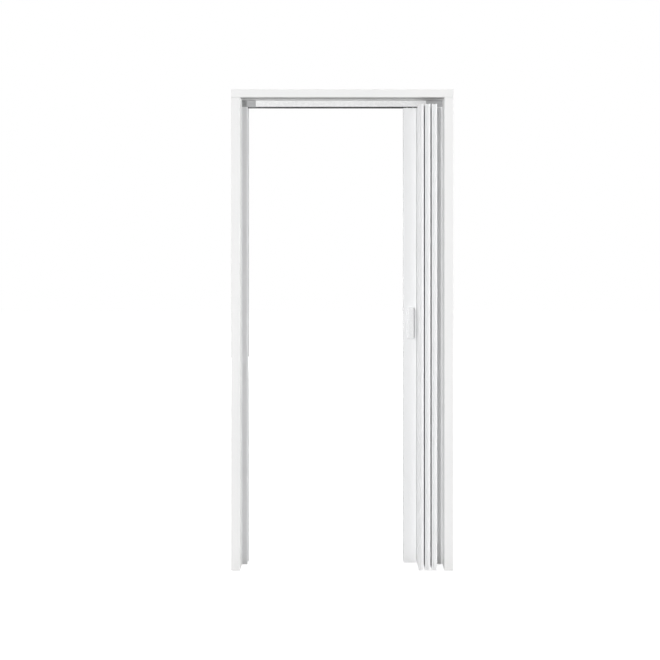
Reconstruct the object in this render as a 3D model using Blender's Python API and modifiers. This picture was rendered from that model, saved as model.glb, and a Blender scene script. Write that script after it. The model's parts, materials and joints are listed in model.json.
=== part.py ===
"""An accordion door in its frame: slats that fold like a fan and hang from a track in the head.

X runs along the doorway with the folded door at +X, -Y faces the viewer and Z is up. The origin
lies on the floor in the middle of the doorway. All sizes are in metres and angles in degrees.
"""
import math

import bmesh
import bpy
from mathutils import Matrix, Vector

# Doorway and its timber frame
OPENING_WIDTH = 0.885
OPENING_HEIGHT = 2.050
FRAME_DEPTH = 0.140
JAMB_THICKNESS = 0.039
HEAD_THICKNESS = 0.035
EDGE_ROUND = 0.0015

# Space left between pieces that touch
SEAT_GAP = 0.0003

# Track: a box section with a slot along its underside
TRACK_DEPTH = 0.034
TRACK_HEIGHT = 0.027
TRACK_WALL = 0.0022
TRACK_LIP = 0.0025
TRACK_SLOT = 0.007
TRACK_GROOVE_DROP = 0.0145
TRACK_GROOVE_WIDTH = 0.0022
TRACK_GROOVE_DEPTH = 0.0009
END_BLOCK_LENGTH = 0.060
WALL_BLOCK_LENGTH = 0.072
END_BLOCK_WALL = 0.007
TRACK_STOP_LENGTH = 0.028

# Gliders that run in the track
PUCK_RADIUS = 0.006
PUCK_HEIGHT = 0.006
PUCK_CROWN_SHARE = 0.8
PIN_RADIUS = 0.0025
FLANGE_RADIUS = 0.0038
FLANGE_HEIGHT = 0.0012
PLUG_LENGTH = 0.016
STEM_LENGTH = 0.010
LEAD_GLIDER_SPACING = 0.026

# Slats, seen from above
SLAT_THICKNESS = 0.008
SLAT_WALL = 0.0012
SLAT_CHAMBERS = 7
HALF_SLAT_CHAMBERS = 3
CHAMBER_INSET = 0.002
BODY_CHAMFER = 0.001
TOP_CLEARANCE = 0.004
FLOOR_CLEARANCE = 0.0075
FULL_SLATS = 4

# Hinges between the slats: a bead on each edge of a strip turns in an open bore
BEAD_RADIUS = 0.0027
BEAD_CLEARANCE = 0.0003
BORE_WALL = 0.0028
STRIP_WEB = 0.0012
WEB_CLEARANCE = 0.0003
NOSE_GAP = 0.0004
NECK_GAP = 0.0008

# Lead post, which closes the door
LEAD_WIDTH = 0.058
LEAD_THICKNESS = 0.024
LEAD_WALL = 0.0018
LEAD_CORNER = 0.002
LEAD_MIDDLE_CHAMBER = 0.011
CLIP_SETBACK = 0.001
CAP_THICKNESS = 0.003
CAP_PLUG_LENGTH = 0.014
MAGNET_WIDTH = 0.0125
MAGNET_THICKNESS = 0.0025

# Channels on the two linings
CHANNEL_REACH = 0.0246
CHANNEL_WALL = 0.002
CHANNEL_BASE = 0.0032
CHANNEL_PLAY = 0.001
CHANNEL_FLOOR_GAP = 0.001
CHANNEL_LINE_INSET = 0.0075
CHANNEL_LINE_WIDTH = 0.0012
CHANNEL_LINE_DEPTH = 0.0006
STILE_REVEAL = 0.0127
KEEPER_WIDTH = 0.016
KEEPER_THICKNESS = 0.0015

# Handles on both faces of the lead post
HANDLE_WIDTH = 0.028
HANDLE_HEIGHT = 0.137
HANDLE_GRIP = 0.011
HANDLE_STEM_WIDTH = 0.015
HANDLE_STEM_REACH = 0.009
HANDLE_STEM_MARGIN = 0.008
HANDLE_BEVEL = 0.0035
HANDLE_CENTRE = 1.067
HANDLE_SCREW_INSET = 0.0235
HANDLE_SCREW_BITE = 0.008

# Screws
SHANK_RADIUS = 0.0016
SCREW_HEAD_RADIUS = 0.0038
SCREW_HEAD_HEIGHT = 0.002
SCREW_CROWN_SHARE = 0.8
SCREW_RIM_SHARE = 0.6
SCREW_TIP = 0.004
CORNER_SCREW_LENGTH = 0.075
CHANNEL_SCREW_LENGTH = 0.028
TRACK_SCREW_LENGTH = 0.022
CHANNEL_SCREW_INSET = 0.200
TRACK_SCREW_INSET = 0.110
SCREWS_IN_LINE = 3

# How far the slats turn from the track's line: stacked at rest, and with the door closed
REST_ANGLE = 89.1
CLOSED_ANGLE = 16.8
CLOSED_GAP = 0.0015

# Number of sides on round pieces
ROUND_STEPS = 20
SCREW_STEPS = 18
BORE_STEPS = 14
NOSE_STEPS = 10
EDGE_STEPS = 3

# Sizes that follow
BORE_RADIUS = BEAD_RADIUS + BEAD_CLEARANCE
NOSE_RADIUS = BORE_RADIUS + BORE_WALL
STRIP_PITCH = 2 * NOSE_RADIUS + NOSE_GAP
BODY_START = NOSE_RADIUS + NECK_GAP
POST_FACE = SLAT_THICKNESS / 2 + CLIP_SETBACK
LEAD_FAR_FACE = POST_FACE + LEAD_WIDTH
GROOVE_DEPTH = MAGNET_THICKNESS + SEAT_GAP
GROOVE_WIDTH = MAGNET_WIDTH + 2 * SEAT_GAP
CHANNEL_INNER = LEAD_THICKNESS + 2 * CHANNEL_PLAY
CHANNEL_OUTER = CHANNEL_INNER + 2 * CHANNEL_WALL
PIVOT_REACH = CHANNEL_REACH + STILE_REVEAL

LINING = OPENING_WIDTH / 2
TRACK_TOP = OPENING_HEIGHT - SEAT_GAP
TRACK_BOTTOM = TRACK_TOP - TRACK_HEIGHT
DOOR_TOP = TRACK_BOTTOM - TOP_CLEARANCE
DOOR_BOTTOM = FLOOR_CLEARANCE
CHANNEL_TOP = TRACK_BOTTOM - SEAT_GAP
PUCK_BOTTOM = TRACK_BOTTOM + TRACK_LIP + SEAT_GAP

# The slats are just wide enough for the magnet all but to meet the keeper with the door closed
FOLDED = math.radians(REST_ANGLE)
CLOSED = math.radians(CLOSED_ANGLE)
STRIPS = FULL_SLATS + 1
KEEPER_FACE = SEAT_GAP + CHANNEL_BASE + SEAT_GAP + KEEPER_THICKNESS
CLOSED_REACH = OPENING_WIDTH - KEEPER_FACE - CLOSED_GAP - LEAD_FAR_FACE
CLOSED_SPAN = CLOSED_REACH - PIVOT_REACH - STRIPS * STRIP_PITCH
SLAT_PITCH = CLOSED_SPAN / math.cos(CLOSED) / (FULL_SLATS + 1)
HALF_PITCH = SLAT_PITCH / 2

# The bore is open where the strip's web sweeps, seen from the slat's own direction
WEB_ANGLE = math.asin((STRIP_WEB / 2 + WEB_CLEARANCE) / BORE_RADIUS)
OPEN_FROM = math.pi - FOLDED - WEB_ANGLE
OPEN_TO = math.pi - CLOSED + WEB_ANGLE

WHITE_PAINT = (0.90, 0.90, 0.895)
WHITE_VINYL = (0.86, 0.87, 0.885)
WHITE_COAT = (0.84, 0.84, 0.84)
GREY_MOULDING = (0.42, 0.42, 0.42)
BLACK_MAGNET = (0.05, 0.05, 0.05)
ZINC = (0.62, 0.63, 0.65)
NYLON = (0.72, 0.74, 0.74)

for leftover in list(bpy.data.objects):
    bpy.data.objects.remove(leftover, do_unlink=True)


def new_collection(name):
    """A collection of its own in the scene."""
    collection = bpy.data.collections.new(name)
    bpy.context.scene.collection.children.link(collection)
    return collection


PARTS = new_collection("accordion_door")
CUTTERS = new_collection("cutters")


def paint(piece, colour, roughness, metallic=0.0):
    """Give a piece a material of its own."""
    material = bpy.data.materials.new(piece.name)
    material.use_nodes = True
    shader = material.node_tree.nodes["Principled BSDF"]
    shader.inputs["Base Color"].default_value = (*colour, 1.0)
    shader.inputs["Roughness"].default_value = roughness
    shader.inputs["Metallic"].default_value = metallic
    piece.data.materials.append(material)


def shade(mesh, angle=35):
    """Smooth the round faces and keep the edges sharp."""
    mesh.shade_smooth()
    mesh.set_sharp_from_angle(angle=math.radians(angle))


def add_piece(name, mesh, parent=None, collection=PARTS):
    """Put a mesh in the scene as an object, on its joint's empty where it has one."""
    piece = bpy.data.objects.new(name, mesh)
    collection.objects.link(piece)
    piece.parent = parent
    return piece


def box_mesh(name, low, high):
    """A plain box between two corners."""
    low = Vector(low)
    high = Vector(high)
    mesh = bpy.data.meshes.new(name)
    bm = bmesh.new()
    bmesh.ops.create_cube(bm, size=1.0)
    size = high - low
    bmesh.ops.scale(bm, vec=size, verts=bm.verts)
    bmesh.ops.translate(bm, vec=(low + high) / 2, verts=bm.verts)
    bm.to_mesh(mesh)
    bm.free()
    return mesh


def extruded(name, loops, length):
    """Pull a flat outline of closed loops up along Z by a length; inner loops are holes."""
    curve = bpy.data.curves.new(name, "CURVE")
    curve.dimensions = "2D"
    curve.fill_mode = "BOTH"
    curve.extrude = length / 2
    for loop in loops:
        spline = curve.splines.new("POLY")
        spline.points.add(len(loop) - 1)
        for point, (x, y) in zip(spline.points, loop):
            point.co = (x, y, 0.0, 1.0)
        spline.use_cyclic_u = True
    guide = bpy.data.objects.new(name, curve)
    bpy.context.scene.collection.objects.link(guide)
    evaluated = guide.evaluated_get(bpy.context.evaluated_depsgraph_get())
    mesh = bpy.data.meshes.new_from_object(evaluated)
    bpy.data.objects.remove(guide)
    bm = bmesh.new()
    bm.from_mesh(mesh)
    bmesh.ops.remove_doubles(bm, verts=bm.verts, dist=0.000001)
    bmesh.ops.translate(bm, vec=(0, 0, length / 2), verts=bm.verts)
    ends = [face for face in bm.faces if len({vert.co.z > length / 2 for vert in face.verts}) == 1]
    inner = {edge for face in ends for edge in face.edges if all(f in ends for f in edge.link_faces)}
    bmesh.ops.beautify_fill(bm, faces=ends, edges=list(inner))
    bmesh.ops.recalc_face_normals(bm, faces=bm.faces)
    bm.to_mesh(mesh)
    bm.free()
    shade(mesh)
    return mesh


def turned(name, profile, steps, parent=None, collection=PARTS):
    """Turn a profile of (radius, height) points, given from the top down, about Z."""
    mesh = bpy.data.meshes.new(name)
    bm = bmesh.new()
    corners = [bm.verts.new((radius, 0, height)) for radius, height in profile]
    for first, second in zip(corners, corners[1:]):
        bm.edges.new((first, second))
    bm.to_mesh(mesh)
    bm.free()
    piece = add_piece(name, mesh, parent, collection)
    spin = piece.modifiers.new("turn", "SCREW")
    spin.steps = steps
    spin.render_steps = steps
    spin.use_merge_vertices = True
    spin.merge_threshold = 0.00001
    spin.use_smooth_shade = True
    return piece


def round_edges(piece, width, segments=EDGE_STEPS):
    """Ease a piece's edges."""
    bevel = piece.modifiers.new("eased edges", "BEVEL")
    bevel.width = width
    bevel.segments = segments
    bevel.limit_method = "ANGLE"


def combine(piece, other, operation):
    """Cut another shape out of a piece, or join it on."""
    other.hide_render = True
    other.display_type = "WIRE"
    change = piece.modifiers.new(other.name, "BOOLEAN")
    change.operation = operation
    change.object = other
    change.solver = "EXACT"


def frame_along(origin, direction):
    """A frame at a point, whose Z axis runs against a screw's driving direction."""
    turn = (-Vector(direction)).to_track_quat("Z", "Y").to_matrix().to_4x4()
    return Matrix.Translation(origin) @ turn


def drill(piece, name, seat, direction, depth, radius, parent=None, sink_radius=0.0):
    """Bore a round hole below a screw's seat, and if wanted a wider one for its head."""
    above = 2 * SCREW_HEAD_HEIGHT
    profile = [(radius, above), (radius, -depth)]
    if sink_radius:
        profile = [(sink_radius, above), (sink_radius, -SEAT_GAP), (radius, -SEAT_GAP), (radius, -depth)]
    profile = [(0, above)] + profile + [(0, -depth)]
    cutter = turned(name, profile, SCREW_STEPS, parent, CUTTERS)
    cutter.matrix_local = frame_along(seat, direction)
    combine(piece, cutter, "DIFFERENCE")


def drive_screw(name, seat, direction, length, held, through, parent=None, sunk=True):
    """Put in a screw and bore the pieces that it passes and the one that its end bites in.

    The seat is the point under the head. A sunk screw's head lies in the first piece passed.
    """
    profile = [
        (0, SCREW_HEAD_HEIGHT),
        (SCREW_HEAD_RADIUS * SCREW_CROWN_SHARE, SCREW_HEAD_HEIGHT),
        (SCREW_HEAD_RADIUS, SCREW_HEAD_HEIGHT * SCREW_RIM_SHARE),
        (SCREW_HEAD_RADIUS, 0),
        (SHANK_RADIUS, 0),
        (SHANK_RADIUS, SCREW_TIP - length),
        (0, -length),
    ]
    piece = turned(name, profile, SCREW_STEPS, parent)
    piece.matrix_local = frame_along(seat, direction)
    paint(piece, ZINC, 0.35, 1.0)
    depth = length + SEAT_GAP
    clear = SHANK_RADIUS + SEAT_GAP
    for i, target in enumerate(through + [held]):
        sink = SCREW_HEAD_RADIUS + SEAT_GAP if sunk and i == 0 else 0.0
        drill(target, f"{name}_hole_{i}", seat, direction, depth, clear, parent, sink)


def arc(centre, radius, start, end, steps):
    """Points along a round stretch, between two angles."""
    points = []
    for i in range(steps + 1):
        angle = start + (end - start) * i / steps
        points.append((centre[0] + radius * math.cos(angle), centre[1] + radius * math.sin(angle)))
    return points


def rectangle(x_low, x_high, y_low, y_high):
    """The four corners of a rectangle."""
    return [(x_low, y_low), (x_high, y_low), (x_high, y_high), (x_low, y_high)]


def turned_about(loop, centre_x):
    """A loop turned half round about a point on the X axis."""
    return [(2 * centre_x - x, -y) for x, y in loop]


def mirrored(loops):
    """The loops flipped across the X axis."""
    return [[(x, -y) for x, y in reversed(loop)] for loop in loops]


def row_of_chambers(x_low, x_high, half_height, count, rib):
    """Equal chambers side by side, with ribs between them."""
    width = (x_high - x_low - (count - 1) * rib) / count
    loops = []
    for i in range(count):
        start = x_low + i * (width + rib)
        loops.append(rectangle(start, start + width, -half_height, half_height))
    return loops


def open_bore(face_angle):
    """The nose round a pivot, from the body's upper face to its lower one, past the bore."""
    centre = (0, 0)
    return (
        arc(centre, NOSE_RADIUS, face_angle, OPEN_FROM, EDGE_STEPS)
        + arc(centre, BORE_RADIUS, OPEN_FROM, OPEN_TO - 2 * math.pi, BORE_STEPS)
        + arc(centre, NOSE_RADIUS, OPEN_TO, 2 * math.pi - face_angle, NOSE_STEPS)
    )


def bead(centre_x):
    """A bead at the far end of a web, from the web's lower side to its upper one."""
    neck = math.pi - math.asin(STRIP_WEB / 2 / BEAD_RADIUS)
    return arc((centre_x, 0), BEAD_RADIUS, -neck, neck, NOSE_STEPS)


SLAT_FACE_ANGLE = math.asin(SLAT_THICKNESS / 2 / NOSE_RADIUS)
CHAMBER_HALF_HEIGHT = SLAT_THICKNESS / 2 - SLAT_WALL
CHAMBER_START = NOSE_RADIUS + CHAMBER_INSET


def slat_loops():
    """A full slat from above: a nose with an open bore at each edge and chambers between."""
    nose = open_bore(SLAT_FACE_ANGLE)
    outline = nose + turned_about(nose, HALF_PITCH)
    chambers = row_of_chambers(
        CHAMBER_START, SLAT_PITCH - CHAMBER_START, CHAMBER_HALF_HEIGHT, SLAT_CHAMBERS, SLAT_WALL
    )
    return [outline] + chambers


def half_slat_loops():
    """A half slat from above: an open bore at its pivot and a bead at its far edge."""
    shoulder = HALF_PITCH - BODY_START
    face = SLAT_THICKNESS / 2
    web = STRIP_WEB / 2
    outline = open_bore(SLAT_FACE_ANGLE) + [
        (shoulder - BODY_CHAMFER, -face),
        (shoulder, -face + BODY_CHAMFER),
        (shoulder, -web),
    ]
    outline += bead(HALF_PITCH)
    outline += [
        (shoulder, web),
        (shoulder, face - BODY_CHAMFER),
        (shoulder - BODY_CHAMFER, face),
    ]
    chambers = row_of_chambers(
        CHAMBER_START,
        shoulder - CHAMBER_INSET,
        CHAMBER_HALF_HEIGHT,
        HALF_SLAT_CHAMBERS,
        SLAT_WALL,
    )
    return [outline] + chambers


def strip_loops():
    """A hinge strip from above: two beads joined by a thin web."""
    far = bead(STRIP_PITCH)
    return [far + turned_about(far, STRIP_PITCH / 2)]


def post_outline(far_face, thickness, corner, groove=0.0, groove_depth=0.0):
    """A post with an open bore on its near face and, if wanted, a groove in its far one."""
    half = thickness / 2
    outline = open_bore(math.acos(POST_FACE / NOSE_RADIUS))
    outline += arc((POST_FACE + corner, corner - half), corner, math.pi, 1.5 * math.pi, EDGE_STEPS)
    outline += arc((far_face - corner, corner - half), corner, -math.pi / 2, 0, EDGE_STEPS)
    if groove:
        outline += [
            (far_face, -groove / 2),
            (far_face - groove_depth, -groove / 2),
            (far_face - groove_depth, groove / 2),
            (far_face, groove / 2),
        ]
    outline += arc((far_face - corner, half - corner), corner, 0, math.pi / 2, EDGE_STEPS)
    outline += arc((POST_FACE + corner, half - corner), corner, math.pi / 2, math.pi, EDGE_STEPS)
    return outline


def lead_chamber_edges():
    """Where the lead post's three chambers begin and end, from its pivot."""
    start = POST_FACE + LEAD_WALL
    end = LEAD_FAR_FACE - GROOVE_DEPTH - LEAD_WALL
    middle = (start + end) / 2
    half = LEAD_MIDDLE_CHAMBER / 2
    return [
        (start, middle - half - LEAD_WALL),
        (middle - half, middle + half),
        (middle + half + LEAD_WALL, end),
    ]


def channel_outline():
    """A U-shaped channel that opens along +X, with a fine line along each flank."""
    half_outer = CHANNEL_OUTER / 2
    half_inner = CHANNEL_INNER / 2
    line_near = CHANNEL_REACH - CHANNEL_LINE_INSET - CHANNEL_LINE_WIDTH
    line_far = CHANNEL_REACH - CHANNEL_LINE_INSET
    line_floor = half_outer - CHANNEL_LINE_DEPTH
    ease = CHANNEL_WALL / 4
    lower = [
        (0, -half_outer),
        (line_near, -half_outer),
        (line_near, -line_floor),
        (line_far, -line_floor),
        (line_far, -half_outer),
        (CHANNEL_REACH - ease, -half_outer),
        (CHANNEL_REACH, ease - half_outer),
        (CHANNEL_REACH, -half_inner - ease),
        (CHANNEL_REACH - ease, -half_inner),
        (CHANNEL_BASE, -half_inner),
    ]
    upper = [(x, -y) for x, y in reversed(lower)]
    return lower + upper


def track_outline(wall):
    """The track's section, depth across and height up, open along its underside."""
    half = TRACK_DEPTH / 2
    slot = TRACK_SLOT / 2
    inner = half - wall
    ceiling = TRACK_HEIGHT - TRACK_WALL
    groove_top = TRACK_HEIGHT - TRACK_GROOVE_DROP
    groove_bottom = groove_top - TRACK_GROOVE_WIDTH
    groove_floor = half - TRACK_GROOVE_DEPTH
    right = [
        (slot, 0),
        (half, 0),
        (half, groove_bottom),
        (groove_floor, groove_bottom),
        (groove_floor, groove_top),
        (half, groove_top),
        (half, TRACK_HEIGHT),
    ]
    left = [(-x, y) for x, y in reversed(right)]
    inside = [
        (-slot, TRACK_LIP),
        (-inner, TRACK_LIP),
        (-inner, ceiling),
        (inner, ceiling),
        (inner, TRACK_LIP),
        (slot, TRACK_LIP),
    ]
    return right + left + inside


# Frame

def make_frame():
    """Two jambs that stand on the floor and a head that lies on them."""
    outer = LINING + JAMB_THICKNESS
    front = -FRAME_DEPTH / 2
    back = FRAME_DEPTH / 2
    jamb_top = OPENING_HEIGHT - SEAT_GAP
    left = add_piece("left_jamb", box_mesh("left_jamb", (-outer, front, 0), (-LINING, back, jamb_top)))
    right = add_piece("right_jamb", box_mesh("right_jamb", (LINING, front, 0), (outer, back, jamb_top)))
    head_top = OPENING_HEIGHT + HEAD_THICKNESS
    head = add_piece("head", box_mesh("head", (-outer, front, OPENING_HEIGHT), (outer, back, head_top)))
    for piece in (left, right, head):
        round_edges(piece, EDGE_ROUND)
        paint(piece, WHITE_PAINT, 0.45)
    seat_height = head_top - SCREW_HEAD_HEIGHT - SEAT_GAP
    for side, jamb in ((-1, left), (1, right)):
        for row in (-1, 1):
            name = f"corner_screw_{'left' if side < 0 else 'right'}_{'front' if row < 0 else 'back'}"
            seat = (side * (LINING + JAMB_THICKNESS / 2), row * FRAME_DEPTH / 4, seat_height)
            drive_screw(name, seat, (0, 0, -1), CORNER_SCREW_LENGTH, jamb, [head])
    return left, right, head


def spread(low, high, count):
    """Evenly spaced places from low to high, both included."""
    return [low + (high - low) * i / (count - 1) for i in range(count)]


def make_track(head):
    """The track under the head, a grey block at each end, the stop in one and the screws."""
    along_x = Matrix(((0, 0, 1, 0), (1, 0, 0, 0), (0, 1, 0, 0), (0, 0, 0, 1)))
    low = SEAT_GAP - LINING
    high = LINING - SEAT_GAP
    start = low + END_BLOCK_LENGTH + SEAT_GAP
    wall_block_low = high - WALL_BLOCK_LENGTH
    end = wall_block_low - SEAT_GAP
    stop_low = high - TRACK_STOP_LENGTH
    places = spread(start + TRACK_SCREW_INSET, end - TRACK_SCREW_INSET, SCREWS_IN_LINE)
    track_screws = {f"track_screw_{i + 1}": x for i, x in enumerate(places)}
    end_screws = {"end_block_screw": low + END_BLOCK_LENGTH / 2}
    wall_screws = {"wall_end_block_screw": (wall_block_low + stop_low) / 2}
    block = (END_BLOCK_WALL, GREY_MOULDING, 0.5)
    rows = (
        ("track", start, end, TRACK_WALL, WHITE_COAT, 0.25, track_screws),
        ("track_end_block", low, low + END_BLOCK_LENGTH, *block, end_screws),
        ("wall_end_block", wall_block_low, high, *block, wall_screws),
    )
    seat_height = TRACK_TOP - TRACK_WALL - SEAT_GAP
    for name, first, last, wall, colour, roughness, screws in rows:
        piece = add_piece(name, extruded(name, [track_outline(wall)], last - first))
        piece.matrix_local = Matrix.Translation((first, 0, TRACK_BOTTOM)) @ along_x
        paint(piece, colour, roughness)
        for screw, x in screws.items():
            seat = (x, 0, seat_height)
            drive_screw(screw, seat, (0, 0, 1), TRACK_SCREW_LENGTH, head, [piece], sunk=False)
    half = TRACK_DEPTH / 2 - END_BLOCK_WALL - SEAT_GAP
    floor = TRACK_BOTTOM + TRACK_LIP + SEAT_GAP
    ceiling = TRACK_TOP - TRACK_WALL - SEAT_GAP
    stop_mesh = box_mesh("track_stop", (stop_low, -half, floor), (high, half, ceiling))
    stop = add_piece("track_stop", stop_mesh)
    round_edges(stop, EDGE_ROUND / 2)
    paint(stop, NYLON, 0.5)


# Channels on the linings

def make_channel(name, side, jamb):
    """A U-shaped channel screwed to a lining, its open side towards the doorway."""
    height = CHANNEL_TOP - CHANNEL_FLOOR_GAP
    channel = add_piece(name, extruded(name, [channel_outline()], height))
    turn = Matrix.Rotation(math.pi if side > 0 else 0, 4, "Z")
    place = (side * (LINING - SEAT_GAP), 0, CHANNEL_FLOOR_GAP)
    channel.matrix_local = Matrix.Translation(place) @ turn
    paint(channel, WHITE_VINYL, 0.35)
    seat_x = side * (LINING - SEAT_GAP - CHANNEL_BASE + SCREW_HEAD_HEIGHT + SEAT_GAP)
    places = spread(CHANNEL_SCREW_INSET, CHANNEL_TOP - CHANNEL_SCREW_INSET, SCREWS_IN_LINE)
    for i, z in enumerate(places):
        screw_name = f"{name}_screw_{i + 1}"
        seat = (seat_x, 0, z)
        drive_screw(screw_name, seat, (side, 0, 0), CHANNEL_SCREW_LENGTH, jamb, [channel])
    return channel


def make_keeper():
    """The steel strip in the left channel that the magnet closes on."""
    base = SEAT_GAP + CHANNEL_BASE + SEAT_GAP - LINING
    low = (base, -KEEPER_WIDTH / 2, CHANNEL_FLOOR_GAP)
    high = (base + KEEPER_THICKNESS, KEEPER_WIDTH / 2, CHANNEL_TOP)
    keeper = add_piece("keeper_strip", box_mesh("keeper_strip", low, high))
    paint(keeper, ZINC, 0.4, 1.0)


def make_stile(pivot):
    """The fixed post that snaps into the right channel and holds the first half slat."""
    far_face = PIVOT_REACH - SEAT_GAP - CHANNEL_BASE - SEAT_GAP
    thickness = CHANNEL_INNER - 2 * SEAT_GAP
    outline = post_outline(far_face, thickness, LEAD_CORNER)
    chamber = rectangle(
        POST_FACE + LEAD_WALL, far_face - LEAD_WALL,
        LEAD_WALL - thickness / 2, thickness / 2 - LEAD_WALL,
    )
    height = CHANNEL_TOP - DOOR_BOTTOM
    mesh = extruded("fixed_stile", mirrored([outline, chamber]), height)
    stile = add_piece("fixed_stile", mesh)
    stile.location = (pivot[0], pivot[1], DOOR_BOTTOM)
    paint(stile, WHITE_VINYL, 0.35)


# Folding door

def pivot_chain():
    """Each moving body's name, pivot and heading, from the wall to the lead post.

    A heading is the direction from a body's own pivot towards the next one. Slats swing to the
    front and to the back by turns, and strips and the lead post always run along the track.
    """
    along = math.pi
    to_front = math.pi + FOLDED
    to_back = math.pi - FOLDED
    steps = [("wall_slat", HALF_PITCH, to_front)]
    for i in range(1, FULL_SLATS + 1):
        steps.append((f"strip_{i}", STRIP_PITCH, along))
        steps.append((f"slat_{i}", SLAT_PITCH, to_back if i % 2 else to_front))
    steps.append((f"strip_{STRIPS}", STRIP_PITCH, along))
    steps.append(("lead_slat", HALF_PITCH, to_front if FULL_SLATS % 2 else to_back))
    steps.append(("lead", 0.0, along))
    chain = {}
    x = LINING - PIVOT_REACH
    y = 0.0
    for name, length, heading in steps:
        chain[name] = ((x, y), heading)
        x += length * math.cos(heading)
        y += length * math.sin(heading)
    return chain


def joint_empty(name, pivot, heading):
    """An empty on a body's joint axis, its X axis along the body."""
    empty = bpy.data.objects.new(f"{name}_joint", None)
    PARTS.objects.link(empty)
    empty.empty_display_size = SLAT_THICKNESS
    empty.location = (pivot[0], pivot[1], 0)
    empty.rotation_euler = (0, 0, heading)
    return empty


def hang(name, loops, parent):
    """A profile at the door's full height, on its joint's empty."""
    piece = add_piece(name, extruded(name, loops, DOOR_TOP - DOOR_BOTTOM), parent)
    piece.location = (0, 0, DOOR_BOTTOM)
    paint(piece, WHITE_VINYL, 0.35)
    return piece


def goes_forward(heading):
    """True where a slat's heading points to the front."""
    return math.sin(heading) < 0


def make_glider(name, parent, place, plug=None, stem=0.0):
    """A glider: a puck in the track, a pin through its slot and a foot in the piece it carries."""
    foot = DOOR_TOP + SEAT_GAP
    profile = [
        (0, PUCK_BOTTOM + PUCK_HEIGHT),
        (PUCK_RADIUS * PUCK_CROWN_SHARE, PUCK_BOTTOM + PUCK_HEIGHT),
        (PUCK_RADIUS, PUCK_BOTTOM + PUCK_HEIGHT * PUCK_CROWN_SHARE),
        (PUCK_RADIUS, PUCK_BOTTOM),
        (PIN_RADIUS, PUCK_BOTTOM),
        (PIN_RADIUS, foot + FLANGE_HEIGHT),
        (FLANGE_RADIUS, foot + FLANGE_HEIGHT),
        (FLANGE_RADIUS, foot),
    ]
    if plug:
        profile.append((0, foot))
    else:
        profile += [(PIN_RADIUS, foot), (PIN_RADIUS, foot - stem), (0, foot - stem)]
    profile = [(radius, height - foot) for radius, height in profile]
    glider = turned(name, profile, ROUND_STEPS, parent)
    glider.location = (*place, foot)
    paint(glider, NYLON, 0.4)
    if plug:
        length, thickness = plug
        low = (-length / 2, -thickness / 2, -PLUG_LENGTH)
        high = (length / 2, thickness / 2, FLANGE_HEIGHT / 2)
        block = add_piece(f"{name}_plug", box_mesh(f"{name}_plug", low, high), parent, CUTTERS)
        block.location = glider.location
        combine(glider, block, "UNION")
    return glider


def make_slats(chain):
    """Half slats at both ends, full slats between them, a strip at each fold and the gliders."""
    empties = {name: joint_empty(name, *place) for name, place in chain.items()}
    wall_loops = [turned_about(loop, HALF_PITCH / 2) for loop in half_slat_loops()]
    if not goes_forward(chain["wall_slat"][1]):
        wall_loops = mirrored(wall_loops)
    hang("wall_half_slat", wall_loops, empties["wall_slat"])
    lead_loops = half_slat_loops()
    if not goes_forward(chain["lead_slat"][1]):
        lead_loops = mirrored(lead_loops)
    hang("lead_half_slat", lead_loops, empties["lead_slat"])
    for i in range(1, STRIPS + 1):
        hang(f"hinge_strip_{i}", strip_loops(), empties[f"strip_{i}"])
    inside = SLAT_PITCH - 2 * CHAMBER_START - (SLAT_CHAMBERS - 1) * SLAT_WALL
    chamber = inside / SLAT_CHAMBERS
    plug = (chamber - 2 * SEAT_GAP, 2 * CHAMBER_HALF_HEIGHT - 2 * SEAT_GAP)
    for i in range(1, FULL_SLATS + 1):
        loops = slat_loops()
        if not goes_forward(chain[f"slat_{i}"][1]):
            loops = mirrored(loops)
        hang(f"slat_{i}", loops, empties[f"slat_{i}"])
        make_glider(f"glider_{i}", empties[f"slat_{i}"], (HALF_PITCH, 0), plug=plug)
    return empties["lead"]


def make_cap(name, parent, under):
    """A cap on the lead post's end, with a plug in each outer chamber."""
    corner = LEAD_CORNER
    half = LEAD_THICKNESS / 2
    outline = []
    for x, y, start in (
        (LEAD_FAR_FACE - corner, corner - half, -math.pi / 2),
        (LEAD_FAR_FACE - corner, half - corner, 0),
        (POST_FACE + corner, half - corner, math.pi / 2),
        (POST_FACE + corner, corner - half, math.pi),
    ):
        outline += arc((x, y), corner, start, start + math.pi / 2, EDGE_STEPS)
    cap = add_piece(name, extruded(name, [outline], CAP_THICKNESS), parent)
    base = DOOR_BOTTOM if under else DOOR_TOP - CAP_THICKNESS
    cap.location = (0, 0, base)
    paint(cap, WHITE_VINYL, 0.45)
    depth = half - LEAD_WALL - SEAT_GAP
    inner_end = base + CAP_THICKNESS + CAP_PLUG_LENGTH if under else base - CAP_PLUG_LENGTH
    joined_end = base + CAP_THICKNESS / 2
    chambers = lead_chamber_edges()
    for side, (start, end) in (("near", chambers[0]), ("far", chambers[-1])):
        low = (start + SEAT_GAP, -depth, min(inner_end, joined_end))
        high = (end - SEAT_GAP, depth, max(inner_end, joined_end))
        plug_name = f"{name}_{side}_plug"
        plug = add_piece(plug_name, box_mesh(plug_name, low, high), parent, CUTTERS)
        combine(cap, plug, "UNION")
    return cap


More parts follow.
